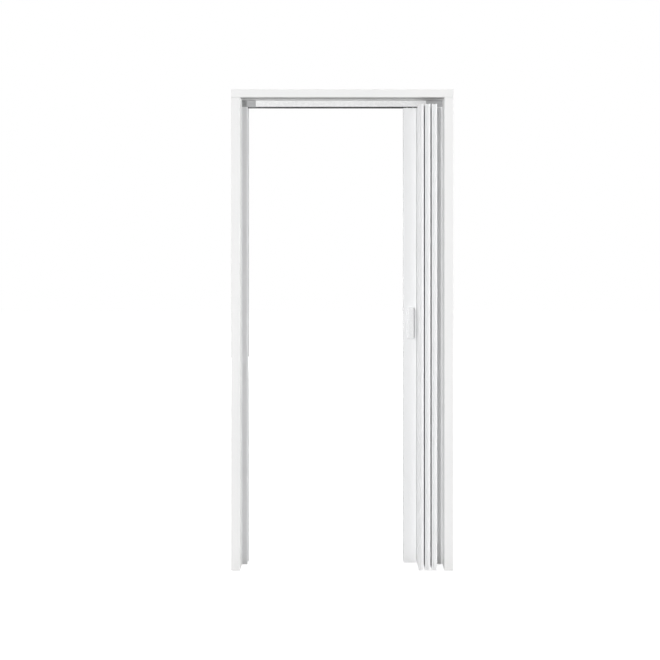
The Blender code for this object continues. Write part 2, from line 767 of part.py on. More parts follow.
def make_handle(name, parent, side, middle):
    """A pull handle: a grip with eased edges on a narrower stem, on one face of the post."""
    face = side * (LEAD_THICKNESS / 2 + SEAT_GAP)
    root = face + side * HANDLE_STEM_REACH
    tip = root + side * HANDLE_GRIP
    half_width = HANDLE_WIDTH / 2
    half_height = HANDLE_HEIGHT / 2
    grip_low = (middle - half_width, min(root, tip), HANDLE_CENTRE - half_height)
    grip_high = (middle + half_width, max(root, tip), HANDLE_CENTRE + half_height)
    handle = add_piece(name, box_mesh(name, grip_low, grip_high), parent)
    round_edges(handle, HANDLE_BEVEL)
    paint(handle, WHITE_VINYL, 0.3)
    inside = root + side * HANDLE_GRIP / 2
    stem_half = HANDLE_STEM_WIDTH / 2
    stem_low = (middle - stem_half, min(face, inside), grip_low[2] + HANDLE_STEM_MARGIN)
    stem_high = (middle + stem_half, max(face, inside), grip_high[2] - HANDLE_STEM_MARGIN)
    stem = add_piece(f"{name}_stem", box_mesh(f"{name}_stem", stem_low, stem_high), parent, CUTTERS)
    combine(handle, stem, "UNION")
    return handle


def make_lead(parent, slat_heading):
    """The lead post with its caps, magnet, gliders and handles."""
    half = LEAD_THICKNESS / 2
    chambers = lead_chamber_edges()
    loops = [post_outline(LEAD_FAR_FACE, LEAD_THICKNESS, LEAD_CORNER, GROOVE_WIDTH, GROOVE_DEPTH)]
    for start, end in chambers:
        loops.append(rectangle(start, end, LEAD_WALL - half, half - LEAD_WALL))
    if goes_forward(slat_heading):
        loops = mirrored(loops)
    low = DOOR_BOTTOM + CAP_THICKNESS + SEAT_GAP
    high = DOOR_TOP - CAP_THICKNESS - SEAT_GAP
    post = add_piece("lead_post", extruded("lead_post", loops, high - low), parent)
    post.location = (0, 0, low)
    paint(post, WHITE_VINYL, 0.35)
    top_cap = make_cap("lead_top_cap", parent, under=False)
    make_cap("lead_bottom_cap", parent, under=True)

    magnet_low = (LEAD_FAR_FACE - MAGNET_THICKNESS, -MAGNET_WIDTH / 2, low)
    magnet_high = (LEAD_FAR_FACE, MAGNET_WIDTH / 2, high)
    magnet = add_piece("magnet_strip", box_mesh("magnet_strip", magnet_low, magnet_high), parent)
    paint(magnet, BLACK_MAGNET, 0.7)

    middle = (chambers[1][0] + chambers[1][1]) / 2
    apart = LEAD_GLIDER_SPACING / 2
    for side, x in (("near", middle - apart), ("far", middle + apart)):
        name = f"lead_glider_{side}"
        make_glider(name, parent, (x, 0), stem=STEM_LENGTH)
        seat = (x, 0, DOOR_TOP)
        depth = STEM_LENGTH + SEAT_GAP
        drill(top_cap, f"{name}_hole", seat, (0, 0, -1), depth, PIN_RADIUS + SEAT_GAP, parent)

    front = make_handle("front_handle", parent, 1, middle)
    back = make_handle("back_handle", parent, -1, middle)
    reach = half + SEAT_GAP + HANDLE_STEM_REACH + HANDLE_GRIP
    seat_y = SCREW_HEAD_HEIGHT + SEAT_GAP - reach
    length = half + HANDLE_SCREW_BITE - seat_y
    rise = HANDLE_HEIGHT / 2 - HANDLE_SCREW_INSET
    for name, offset in (("lower", -rise), ("upper", rise)):
        seat = (middle, seat_y, HANDLE_CENTRE + offset)
        drive_screw(f"handle_screw_{name}", seat, (0, 1, 0), length, front, [back, post], parent)


left_jamb, right_jamb, frame_head = make_frame()
make_track(frame_head)
make_channel("strike_channel", -1, left_jamb)
make_channel("wall_channel", 1, right_jamb)
make_keeper()
PIVOTS = pivot_chain()
make_stile(PIVOTS["wall_slat"][0])
make_lead(make_slats(PIVOTS), PIVOTS["lead_slat"][1])
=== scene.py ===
"""Finish, fine pieces, stage, light and camera for the accordion door in its frame."""

import json
import math

import bmesh
import bpy
from mathutils import Matrix, Vector


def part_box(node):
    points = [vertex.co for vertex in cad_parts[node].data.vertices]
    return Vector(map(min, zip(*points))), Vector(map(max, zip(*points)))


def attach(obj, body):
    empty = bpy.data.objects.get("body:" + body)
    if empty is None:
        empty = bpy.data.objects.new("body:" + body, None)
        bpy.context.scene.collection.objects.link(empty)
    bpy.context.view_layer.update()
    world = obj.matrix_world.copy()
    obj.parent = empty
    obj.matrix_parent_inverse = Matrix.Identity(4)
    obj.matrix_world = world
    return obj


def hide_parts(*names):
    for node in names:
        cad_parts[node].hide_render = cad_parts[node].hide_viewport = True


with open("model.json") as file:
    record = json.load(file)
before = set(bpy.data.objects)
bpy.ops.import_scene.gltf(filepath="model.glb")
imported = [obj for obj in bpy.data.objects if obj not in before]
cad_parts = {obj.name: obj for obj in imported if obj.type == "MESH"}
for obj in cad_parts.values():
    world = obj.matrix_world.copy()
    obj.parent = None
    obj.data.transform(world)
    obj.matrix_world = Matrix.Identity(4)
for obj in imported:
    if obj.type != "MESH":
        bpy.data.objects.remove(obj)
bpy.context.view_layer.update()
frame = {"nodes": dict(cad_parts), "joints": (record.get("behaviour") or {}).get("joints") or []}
NODES = frame["nodes"]
PIVOTS = {joint["child"]: Vector(joint["pos_m"][:2]) for joint in frame["joints"]}

# The photograph's frame: where its level and straight-ahead lines lie, and its scale
IMAGE_SIZE = 660
VANISH_X = 344
VANISH_Y = 264
SCALE_AT_FACE = 0.004327
CAMERA_DISTANCE = 2.600
CAMERA_HEIGHT = 1.328
CAMERA_X = 0.0076
SENSOR = 36.0

# Sizes of the profiles, as in the solids
SEAT_GAP = 0.0003
SLAT_THICKNESS = 0.008
SLAT_WALL = 0.0012
SLAT_CHAMBERS = 7
HALF_SLAT_CHAMBERS = 3
CHAMBER_INSET = 0.002
BODY_CHAMFER = 0.001
BEAD_RADIUS = 0.0027
BORE_RADIUS = 0.003
NOSE_RADIUS = 0.0058
STRIP_WEB = 0.0012
WEB_CLEARANCE = 0.0003
STRIP_PITCH = 0.012
NECK_GAP = 0.0008
POST_FACE = 0.005
LEAD_FAR_FACE = 0.063
LEAD_THICKNESS = 0.024
LEAD_WALL = 0.0018
LEAD_CORNER = 0.002
LEAD_MIDDLE_CHAMBER = 0.011
GROOVE_DEPTH = 0.0028
GROOVE_WIDTH = 0.0131
REST_ANGLE = 89.1
CLOSED_ANGLE = 16.8
CHANNEL_REACH = 0.0246
CHANNEL_WALL = 0.002
CHANNEL_BASE = 0.0032
CHANNEL_INNER = 0.026
CHANNEL_LINE_INSET = 0.0075
CHANNEL_LINE_WIDTH = 0.0012
CHANNEL_LINE_DEPTH = 0.0006
TRACK_DEPTH = 0.034
TRACK_HEIGHT = 0.027
TRACK_WALL = 0.0022
TRACK_LIP = 0.0025
TRACK_SLOT = 0.007
TRACK_GROOVE_DROP = 0.0145
TRACK_GROOVE_WIDTH = 0.0022
TRACK_GROOVE_DEPTH = 0.0009
END_BLOCK_WALL = 0.007
SHANK_RADIUS = 0.0016
SCREW_HEAD_RADIUS = 0.0038
SCREW_HEAD_HEIGHT = 0.002
SCREW_TIP = 0.004
PUCK_RADIUS = 0.006
PUCK_HEIGHT = 0.006
PIN_RADIUS = 0.0025
FLANGE_RADIUS = 0.0038
FLANGE_HEIGHT = 0.0012
HANDLE_WIDTH = 0.028
HANDLE_GRIP = 0.011
HANDLE_STEM_WIDTH = 0.015
HANDLE_STEM_MARGIN = 0.008
HANDLE_BEVEL = 0.0035
CAP_THICKNESS = 0.003

# Small forms: how far a bore's lip is turned back, and the easing of edges, which the solids
# mostly leave out
LIP_TURN = 0.06
CHAMBER_EASE = 0.0005
LEAD_CHAMBER_EASE = 0.0006
STILE_CHAMBER_EASE = 0.0008
SHOULDER_EASE = 0.0003
CHANNEL_EASE = 0.0009
TRACK_EASE = 0.0006
CAP_EASE = 0.0006
PLUG_EASE = 0.0004
MAGNET_EASE = 0.0004
GLIDER_EASE = 0.0004
GLIDER_PLUG_EASE = 0.0005
PIN_EASE = 0.0006
HANDLE_CORNER = 0.006
HANDLE_LEAST_CORNER = 0.0012
STEM_EASE = 0.0004

# A puck's rim from its top: how far in and how far down each point lies
PUCK_RIM = ((0.0012, 0.0), (0.0, 0.0012), (0.0, 0.0025), (0.0004, 0.0029), (0.0004, 0.0037), (0.0, 0.0041))

# A grip's face: its bevel lies below the crown, by half as much from GRIP_INNER inwards, and each
# row on it lies so far in and so far below the crown
GRIP_CROWN = 0.0006
GRIP_INNER = 0.002
GRIP_FACE = ((0.008, 0.0001), (0.0115, 0.0))

# A screw head: the rims of a flat and of a domed one, its cross recess, and the shank's point
FLAT_EASE = 0.0003
FLAT_EDGE = 0.0007
FLAT_TAPER = 0.0016
DOME_ANGLES = (0.35, 0.6, 0.85, 1.1, 1.35)
DOME_BASE = 0.35
DOME_EDGE = 0.3
RECESS_DEPTH = 0.0014
RECESS_ARM = 0.0021
RECESS_HALF_WIDTH = 0.0005
RECESS_TAPER = 0.45
RECESS_ABOVE = 0.0004
POINT_SHARE = 0.35
POINT_HEIGHT = 0.0006
THREAD_PITCH = 0.0013

# How deep screws are bored into the channels, the track and a handle, and a pin into a cap
WALL_BORE = 0.012
TRACK_BORE = 0.006
HANDLE_BORE = 0.03
PIN_HOLE = 0.02

SLAT_PITCH = (PIVOTS["strip_2"] - PIVOTS["slat_1"]).length
HALF_PITCH = SLAT_PITCH / 2
BODY_START = NOSE_RADIUS + NECK_GAP
FOLDED = math.radians(REST_ANGLE)
CLOSED = math.radians(CLOSED_ANGLE)
WEB_ANGLE = math.asin((STRIP_WEB / 2 + WEB_CLEARANCE) / BORE_RADIUS)
OPEN_FROM = math.pi - FOLDED - WEB_ANGLE
OPEN_TO = math.pi - CLOSED + WEB_ANGLE
SLAT_FACE_ANGLE = math.asin(SLAT_THICKNESS / 2 / NOSE_RADIUS)
CHAMBER_HALF_HEIGHT = SLAT_THICKNESS / 2 - SLAT_WALL
CHAMBER_START = NOSE_RADIUS + CHAMBER_INSET

# A dark line painted as shade along the head's underside, where an open joint between the casing
# and the lining lies, and how softly a painted mask ends
SHADE_LINE_DEPTH = 0.021
SHADE_LINE_WIDTH = 0.005
MASK_FADE = 0.0004

# Light: the world's strength above and below the horizon, and how pale the floor is to light
WORLD_ABOVE = 0.36
WORLD_BELOW = 0.06
FLOOR_BOUNCE = 0.2

# The floor's size, how far it lies below the feet, and its tone and glow to whatever sees it
FLOOR_REACH = 14.0
FLOOR_SINK = 0.0004
FLOOR_TONE = 0.55
FLOOR_GLOW = 0.82

# The heights, as a direction's Z, between which the world passes from below to above
HORIZON = (-0.25, 0.15)

# Lamps round the object: place, width and height, and power
LAMPS = (
    ("key lamp", (-7.8, -18.4, 1.5), (2.4, 3.0), 2020),
    ("left lamp", (-4.6, -3.9, 1.2), (4.0, 4.0), 62),
    ("right lamp", (5.8, -1.5, 1.2), (3.0, 3.0), 265),
    ("left back lamp", (-5.9, 1.0, 1.2), (3.5, 3.5), 50),
    ("back lamp", (-2.5, 5.4, 1.2), (3.0, 3.0), 210),
    ("top lamp", (0.0, 0.0, 6.5), (2.0, 2.0), 85),
)
LAMP_TARGET = (0.0, 0.0, 1.1)

# Number of steps round fine forms, the most of a side that a fillet takes, and how near points
# merge; from these angles on, an edge stays sharp and a corner counts as straight
BORE_STEPS = 28
NOSE_STEPS = 24
MOUTH_STEPS = 6
CORNER_STEPS = 5
EASE_STEPS = 3
LIP_STEPS = 6
HANDLE_STEPS = 8
TURN_STEPS = 48
SCREW_STEPS = 32
FILLET_SHARE = 0.45
MERGE_DISTANCE = 0.000001
SHARP_FROM = math.radians(32)
STRAIGHT_FROM = math.radians(165)

# The vinyls' tones, each with its fainter shade
SLAT_WHITES = ((0.905, 0.91, 0.915), (0.89, 0.896, 0.902))
POST_WHITES = ((0.885, 0.89, 0.895), (0.868, 0.874, 0.881))
HINGE_WHITES = ((0.895, 0.9, 0.905), (0.88, 0.885, 0.891))


def placed(name, data):
    """A new object in the scene."""
    made = bpy.data.objects.new(name, data)
    bpy.context.scene.collection.objects.link(made)
    return made


# Camera

def add_camera():
    """A level camera that looks straight along the doorway's depth, framed by a shift."""
    data = bpy.data.cameras.new("camera")
    camera = placed("camera", data)
    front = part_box("head")[0].y
    camera.location = (CAMERA_X, front - CAMERA_DISTANCE, CAMERA_HEIGHT)
    camera.rotation_euler = (math.pi / 2, 0, 0)
    focal_pixels = CAMERA_DISTANCE / SCALE_AT_FACE
    data.sensor_width = SENSOR
    data.lens = focal_pixels * SENSOR / IMAGE_SIZE
    data.shift_x = (IMAGE_SIZE / 2 - VANISH_X) / IMAGE_SIZE
    data.shift_y = (VANISH_Y - IMAGE_SIZE / 2) / IMAGE_SIZE
    bpy.context.scene.camera = camera


# Materials

class Finish:
    """A material whose colour, roughness and relief come from nodes in the piece's own metres."""

    def __init__(self, name, **sockets):
        self.material = bpy.data.materials.new(name)
        self.material.use_nodes = True
        self.tree = self.material.node_tree
        self.shader = self.tree.nodes["Principled BSDF"]
        for socket, value in sockets.items():
            self.shader.inputs[socket.replace("_", " ")].default_value = value
        self.place = self.tree.nodes.new("ShaderNodeTexCoord").outputs["Object"]
        self.normal = None

    def wire(self, value, socket):
        """Link an output to a socket, or set the socket to a plain value."""
        if isinstance(value, bpy.types.NodeSocket):
            self.tree.links.new(value, socket)
        else:
            socket.default_value = value

    def noise(self, scale, stretch=(1, 1, 1), detail=2.0):
        """Noise with so many features to the metre, squeezed along each axis by stretch."""
        mapping = self.tree.nodes.new("ShaderNodeMapping")
        mapping.inputs["Scale"].default_value = stretch
        self.wire(self.place, mapping.inputs["Vector"])
        texture = self.tree.nodes.new("ShaderNodeTexNoise")
        texture.inputs["Scale"].default_value = scale
        texture.inputs["Detail"].default_value = detail
        self.wire(mapping.outputs["Vector"], texture.inputs["Vector"])
        return texture.outputs["Fac"]

    def cells(self, scale):
        """Random tones in cells, so many to the metre."""
        texture = self.tree.nodes.new("ShaderNodeTexVoronoi")
        texture.inputs["Scale"].default_value = scale
        self.wire(self.place, texture.inputs["Vector"])
        grey = self.tree.nodes.new("ShaderNodeRGBToBW")
        self.wire(texture.outputs["Color"], grey.inputs["Color"])
        return grey.outputs["Val"]

    def axis(self, name):
        """One coordinate of the piece, in metres."""
        split = self.tree.nodes.new("ShaderNodeSeparateXYZ")
        self.wire(self.place, split.inputs["Vector"])
        return split.outputs[name]

    def math(self, operation, first, second=0.0):
        """A math node's result."""
        made = self.tree.nodes.new("ShaderNodeMath")
        made.operation = operation
        self.wire(first, made.inputs[0])
        self.wire(second, made.inputs[1])
        return made.outputs["Value"]

    def spread(self, value, low, high, start=0.3, end=0.7):
        """A value mapped from start..end to low..high, held at the ends."""
        made = self.tree.nodes.new("ShaderNodeMapRange")
        made.interpolation_type = "SMOOTHSTEP"
        self.wire(value, made.inputs["Value"])
        made.inputs["From Min"].default_value = start
        made.inputs["From Max"].default_value = end
        made.inputs["To Min"].default_value = low
        made.inputs["To Max"].default_value = high
        return made.outputs["Result"]

    def blend(self, amount, first, second):
        """Two colours mixed by an amount."""
        made = self.tree.nodes.new("ShaderNodeMix")
        made.data_type = "RGBA"
        self.wire(amount, made.inputs["Factor"])
        colours = [socket for socket in made.inputs if socket.type == "RGBA"]
        for value, socket in zip((first, second), colours):
            self.wire(value if isinstance(value, bpy.types.NodeSocket) else (*value, 1.0), socket)
        return [socket for socket in made.outputs if socket.type == "RGBA"][0]

    def clouded(self, pattern, first, second, most=1.0):
        """Two colours mixed by a pattern, with at most a share of the second."""
        return self.blend(self.spread(pattern, 0.0, most), first, second)

    def soiled(self, tone, reach, scale, share, dirt):
        """A tone with patches of dirt near the foot that thin out up to a height."""
        low = self.spread(self.axis("Z"), 1.0, 0.0, 0.0, reach)
        patches = self.math("MULTIPLY", low, self.noise(scale, detail=4.0))
        return self.blend(self.math("MULTIPLY", patches, share), tone, dirt)

    def below(self, value, limit, fade):
        """1 where a value is below a limit and 0 above it, faded to either side."""
        return self.spread(value, 1.0, 0.0, limit - fade, limit + fade)

    def paint(self, colour):
        """Feed the base colour."""
        self.wire(colour, self.shader.inputs["Base Color"])

    def rough(self, value):
        """Feed the roughness."""
        self.wire(value, self.shader.inputs["Roughness"])

    def painted_shade_under_track(self):
        """1 on the underside and the inside of the track and its blocks, where shade is painted, and 0 on
        their outer walls.
        """
        off = self.math("ABSOLUTE", self.axis("X"))
        return self.below(off, TRACK_DEPTH / 2 - TRACK_WALL, MASK_FADE)

    def relief(self, height, distance):
        """Raise the surface by a height from 0 to 1 times a distance in metres."""
        bump = self.tree.nodes.new("ShaderNodeBump")
        bump.inputs["Distance"].default_value = distance
        self.wire(height, bump.inputs["Height"])
        if self.normal:
            self.wire(self.normal, bump.inputs["Normal"])
        self.normal = bump.outputs["Normal"]
        self.wire(self.normal, self.shader.inputs["Normal"])


def painted_timber(name, stretch, joint=None):
    """Satin white paint, rolled over timber whose grain just shows along its length.

    A joint is the height of an underside, with the depth at which a dark line crosses it: painted shade,
    standing in for the shade in a fine open joint.
    """
    made = Finish(name, IOR=1.48)
    grain = made.noise(320, stretch, detail=3.0)
    stipple = made.noise(900, detail=1.5)
    tone = made.clouded(made.noise(2.2, detail=3.0), (0.88, 0.88, 0.876), (0.86, 0.862, 0.86))
    tone = made.clouded(grain, tone, (0.81, 0.805, 0.79), 0.12)
    tone = made.soiled(tone, 0.09, 60, 0.25, (0.6, 0.58, 0.55))
    # Painted shade: a dark line across the underside, standing in for the shade in an open joint
    if joint:
        underside, depth = joint
        off = made.math("ABSOLUTE", made.math("SUBTRACT", made.axis("Y"), depth))
        line = made.below(off, SHADE_LINE_WIDTH / 2, MASK_FADE)
        beneath = made.below(made.axis("Z"), underside + MASK_FADE, MASK_FADE / 2)
        tone = made.blend(made.math("MULTIPLY", line, beneath), tone, (0.1, 0.1, 0.098))
    made.paint(tone)
    made.rough(made.spread(made.noise(25, detail=3.0), 0.52, 0.64))
    made.relief(stipple, 0.00004)
    made.relief(grain, 0.00005)
    return made.material


def vinyl(name, whites, roughness, rib_start=0.0, rib_pitch=0.0):
    """Extruded vinyl: fine lines along its height and, on slats, the inner ribs just showing."""
    made = Finish(name, IOR=1.53)
    white, shadow = whites
    drawn = made.noise(1400, (1, 1, 0.002))
    tone = made.clouded(made.noise(6, (1, 1, 0.25), detail=3.0), white, shadow)
    tone = made.clouded(drawn, tone, shadow, 0.1)
    made.paint(made.soiled(tone, 0.07, 90, 0.2, (0.62, 0.6, 0.57)))
    patches = made.noise(40, (1, 1, 0.1), detail=3.0)
    made.rough(made.spread(patches, roughness - 0.05, roughness + 0.07))
    made.relief(drawn, 0.00001)
    if rib_pitch:
        off = made.math("SUBTRACT", made.axis("X"), rib_start)
        wave = made.math("COSINE", made.math("MULTIPLY", off, 2 * math.pi / rib_pitch))
        made.relief(made.spread(wave, 1.0, 0.0, 0.72, 1.0), 0.00004)
    return made.material


def powder_coat(name):
    """Gloss white powder coat with a slight orange peel; painted shade, nearly black, under and inside the
    track, rougher where gliders run.
    """
    made = Finish(name, IOR=1.5)
    peel = made.noise(650, detail=1.0)
    coat = made.clouded(made.noise(5), (0.86, 0.86, 0.86), (0.84, 0.842, 0.845))
    streaks = made.noise(900, (1, 1, 0.01), detail=3.0)
    # Painted shade: nearly black, standing in for the shade under and inside the track
    painted_shade = made.clouded(streaks, (0.07, 0.07, 0.072), (0.11, 0.11, 0.112))
    inside = made.painted_shade_under_track()
    made.paint(made.blend(inside, coat, painted_shade))
    worn = made.math("MULTIPLY", inside, made.spread(streaks, 0.45, 0.6))
    made.rough(made.math("ADD", worn, made.spread(made.noise(60), 0.22, 0.32)))
    made.relief(peel, 0.00003)
    return made.material


def eroded_moulding(name):
    """Grey moulded plastic with the fine grain of a spark-eroded mould, and painted shade, nearly black,
    beneath and inside.
    """
    made = Finish(name, IOR=1.5)
    grain = made.noise(2600)
    tone = made.clouded(made.noise(30, detail=3.0), (0.43, 0.43, 0.435), (0.39, 0.392, 0.4))
    tone = made.clouded(grain, tone, (0.3, 0.3, 0.31), 0.2)
    # Painted shade: nearly black under and inside the block, standing in for the shade there
    made.paint(made.blend(made.painted_shade_under_track(), tone, (0.06, 0.06, 0.062)))
    made.rough(made.spread(grain, 0.5, 0.62))
    made.relief(grain, 0.00003)
    return made.material


def natural_nylon(name):
    """Milky nylon that light enters a little."""
    made = Finish(name, IOR=1.53, Subsurface_Weight=0.15, Subsurface_Scale=0.002)
    made.paint(made.clouded(made.noise(120, detail=3.0), (0.78, 0.79, 0.77), (0.7, 0.715, 0.7)))
    made.rough(made.spread(made.noise(300), 0.32, 0.45))
    made.relief(made.noise(1500, detail=1.0), 0.00001)
    return made.material


def magnet_rubber(name):
    """Dark magnetic rubber with fine pale specks of filler."""
    made = Finish(name, IOR=1.52)
    specks = made.noise(4000, detail=1.0)
    drawn = made.noise(900, (1, 1, 0.004))
    tone = made.clouded(drawn, (0.045, 0.044, 0.043), (0.07, 0.068, 0.066))
    made.paint(made.blend(made.spread(specks, 0.0, 0.35, 0.62, 0.75), tone, (0.2, 0.2, 0.2)))
    made.rough(made.spread(drawn, 0.6, 0.78))
    made.relief(drawn, 0.00002)
    return made.material


def galvanised(name):
    """Zinc-coated steel strip with soft spangle and rolling lines."""
    made = Finish(name, Metallic=1.0)
    spangle = made.cells(160)
    rolled = made.noise(1600, (1, 1, 0.004))
    tone = made.blend(spangle, (0.6, 0.61, 0.63), (0.7, 0.71, 0.72))
    made.paint(made.clouded(rolled, tone, (0.5, 0.5, 0.51), 0.3))
    made.rough(made.spread(spangle, 0.34, 0.5, 0.0, 1.0))
    made.relief(rolled, 0.00001)
    return made.material


def zinc_plate(name):
    """Bright zinc plate, a little clouded, with a thread's turns on the shank."""
    made = Finish(name, Metallic=1.0)
    cloud = made.noise(700, detail=3.0)
    made.paint(made.clouded(cloud, (0.72, 0.72, 0.71), (0.62, 0.61, 0.57)))
    made.rough(made.spread(cloud, 0.26, 0.4))
    angle = made.math("ARCTAN2", made.axis("Y"), made.axis("X"))
    climb = made.math("MULTIPLY", made.axis("Z"), 2 * math.pi / THREAD_PITCH)
    thread = made.spread(made.math("SINE", made.math("ADD", climb, angle)), 0.0, 1.0, -1.0, 1.0)
    shank = made.below(made.axis("Z"), -0.00075, 0.00025)
    made.relief(made.math("MULTIPLY", thread, shank), 0.0003)
    return made.material


def gloss_moulding(name):
    """Smooth moulded plastic with faint flow marks and a finger-worn sheen."""
    made = Finish(name, IOR=1.53, Coat_Weight=0.2, Coat_Roughness=0.1)
    made.paint(made.clouded(made.noise(14, (1, 1, 0.35)), (0.91, 0.914, 0.918), (0.895, 0.9, 0.906)))
    made.rough(made.spread(made.noise(180, detail=3.0), 0.2, 0.34))
    made.relief(made.noise(1800, detail=1.0), 0.000008)
    return made.material


# Shapes

def filleted(points, radius, steps=CORNER_STEPS, closed=True):
    """An outline with its corners rounded, as far as its sides leave room."""
    made = []
    for i, point in enumerate(points):
        corner = Vector(point)
        if not closed and i in (0, len(points) - 1):
            made.append(tuple(corner))
            continue
        before = Vector(points[i - 1]) - corner
        after = Vector(points[(i + 1) % len(points)]) - corner
        turn = before.angle(after)
        if turn > STRAIGHT_FROM:
            made.append(tuple(corner))
            continue
        room = FILLET_SHARE * min(before.length, after.length)
        reach = min(radius / math.tan(turn / 2), room)
        start = corner + before.normalized() * reach
        middle = before.normalized() + after.normalized()
        centre = corner + middle.normalized() * (reach / math.cos(turn / 2))
        first = math.atan2(*reversed(start - centre))
        end = corner + after.normalized() * reach
        sweep = math.atan2(*reversed(end - centre)) - first
        sweep = (sweep + math.pi) % (2 * math.pi) - math.pi
        size = (start - centre).length
        for k in range(steps + 1):
            angle = first + sweep * k / steps
            made.append((centre.x + size * math.cos(angle), centre.y + size * math.sin(angle)))
    return made


def arc(centre, radius, start, end, steps):
    """Points along a round stretch, between two angles."""
    points = []
    for i in range(steps + 1):
        angle = start + (end - start) * i / steps
        points.append((centre[0] + radius * math.cos(angle), centre[1] + radius * math.sin(angle)))
    return points


def rounding(radius, angles):
    """How far in and how far down a rounded edge runs, at each angle from its side to its face."""
    return [(radius * (1 - math.sin(a)), radius * (1 - math.cos(a))) for a in angles]


def rectangle(x_low, x_high, y_low, y_high):
    """The four corners of a rectangle."""
    return [(x_low, y_low), (x_high, y_low), (x_high, y_high), (x_low, y_high)]


def turned_about(loop, centre_x):
    """A loop turned half round about a point on the X axis."""
    return [(2 * centre_x - x, -y) for x, y in loop]


def mirrored(loops):
    """The loops flipped across the X axis."""
    return [[(x, -y) for x, y in reversed(loop)] for loop in loops]


def chambers_between(x_low, x_high, half_height, count, rib):
    """Equal chambers side by side with eased corners, and ribs between them."""
    width = (x_high - x_low - (count - 1) * rib) / count
    starts = [x_low + i * (width + rib) for i in range(count)]
    boxes = [rectangle(x, x + width, -half_height, half_height) for x in starts]
    return [filleted(box, CHAMBER_EASE, EASE_STEPS) for box in boxes]


def shaded(mesh):
    """A mesh with its round faces smooth and its edges sharp."""
    mesh.shade_smooth()
    mesh.set_sharp_from_angle(angle=SHARP_FROM)
    return mesh


def written(bm, mesh):
    """A mesh filled from a bmesh, which ends here, and shaded."""
    bm.to_mesh(mesh)
    bm.free()
    return shaded(mesh)


def extruded(name, loops, length):
    """Pull a flat outline of closed loops up along Z by a length; inner loops are holes."""
    curve = bpy.data.curves.new(name, "CURVE")
    curve.dimensions = "2D"
    curve.fill_mode = "BOTH"
    curve.extrude = length / 2
    for loop in loops:
        spline = curve.splines.new("POLY")
        spline.points.add(len(loop) - 1)
        for point, (x, y) in zip(spline.points, loop):
            point.co = (x, y, 0.0, 1.0)
        spline.use_cyclic_u = True
    guide = placed(name, curve)
    evaluated = guide.evaluated_get(bpy.context.evaluated_depsgraph_get())
    mesh = bpy.data.meshes.new_from_object(evaluated)
    bpy.data.objects.remove(guide)
    bm = bmesh.new()
    bm.from_mesh(mesh)
    bmesh.ops.remove_doubles(bm, verts=bm.verts, dist=MERGE_DISTANCE)
    bmesh.ops.translate(bm, vec=(0, 0, length / 2), verts=bm.verts)
    ends = [face for face in bm.faces if len({vert.co.z > length / 2 for vert in face.verts}) == 1]
    inner = {edge for face in ends for edge in face.edges if all(f in ends for f in edge.link_faces)}
    bmesh.ops.beautify_fill(bm, faces=ends, edges=list(inner))
    bmesh.ops.recalc_face_normals(bm, faces=bm.faces)
    return written(bm, mesh)


def turned(name, profile, steps=TURN_STEPS):
    """Turn a profile of (radius, height) points about Z; it starts and ends on the axis."""
    mesh = bpy.data.meshes.new(name)
    bm = bmesh.new()
    spots = [2 * math.pi * k / steps for k in range(steps)]
    rings = []
    for radius, height in profile:
        ring = [(0, 0, height)]
        if radius:
            ring = [(radius * math.cos(a), radius * math.sin(a), height) for a in spots]
        rings.append([bm.verts.new(point) for point in ring])
    for upper, lower in zip(rings, rings[1:]):
        for k in range(steps):
            corners = [upper[k % len(upper)], lower[k % len(lower)]]
            corners += [lower[(k + 1) % len(lower)], upper[(k + 1) % len(upper)]]
            bm.faces.new(list(dict.fromkeys(corners)))
    bmesh.ops.recalc_face_normals(bm, faces=bm.faces)
    return written(bm, mesh)


def lofted(name, loops):
    """Skin over loops of points with the same count, closed at both ends."""
    mesh = bpy.data.meshes.new(name)
    bm = bmesh.new()
    rows = [[bm.verts.new(point) for point in loop] for loop in loops]
    for first, second in zip(rows, rows[1:]):
        for k in range(len(first)):
            after = (k + 1) % len(first)
            bm.faces.new((first[k], first[after], second[after], second[k]))
    bm.faces.new(rows[0])
    bm.faces.new(rows[-1])
    bmesh.ops.recalc_face_normals(bm, faces=bm.faces)
    return written(bm, mesh)


def eased_box(name, low, high, ease, steps=EASE_STEPS):
    """A box between two corners, with its edges eased."""
    low = Vector(low)
    high = Vector(high)
    mesh = bpy.data.meshes.new(name)
    bm = bmesh.new()
    bmesh.ops.create_cube(bm, size=1.0)
    bmesh.ops.scale(bm, vec=high - low, verts=bm.verts)
    bmesh.ops.translate(bm, vec=(low + high) / 2, verts=bm.verts)
    bmesh.ops.bevel(bm, geom=bm.edges[:], offset=ease, segments=steps, profile=0.5, affect="EDGES")
    return written(bm, mesh)


def combined(mesh, others, operation):
    """A mesh with other meshes cut out of it or joined on."""
    base = placed("base", mesh)
    tools = [placed("tool", other) for other in others]
    for tool in tools:
        change = base.modifiers.new("change", "BOOLEAN")
        change.operation = operation
        change.object = tool
        change.solver = "EXACT"
    evaluated = base.evaluated_get(bpy.context.evaluated_depsgraph_get())
    made = bpy.data.meshes.new_from_object(evaluated)
    for extra in [base] + tools:
        bpy.data.objects.remove(extra)
    made.name = mesh.name
    return shaded(made)


def put(name, mesh, body, material, node, place):
    """Add a fine piece that stands for a node, on the node's body."""
    piece = placed(name, mesh)
    piece.matrix_world = place
    mesh.materials.clear()
    mesh.materials.append(material)
    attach(piece, body)
    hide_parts(node)


def at_pivot(body, height=0.0):
    """A body's own frame at rest: its pivot, with X towards the next pivot."""
    order = list(PIVOTS)
    here = PIVOTS[body]
    heading = math.pi
    if body != order[-1]:
        heading = math.atan2(*reversed(PIVOTS[order[order.index(body) + 1]] - here))
    return Matrix.Translation((here.x, here.y, height)) @ Matrix.Rotation(heading, 4, "Z")


def heads_forward(body):
    """True where a body points to the front from its pivot."""
    return (at_pivot(body).to_3x3() @ Vector((1, 0, 0))).y < 0


# Profiles

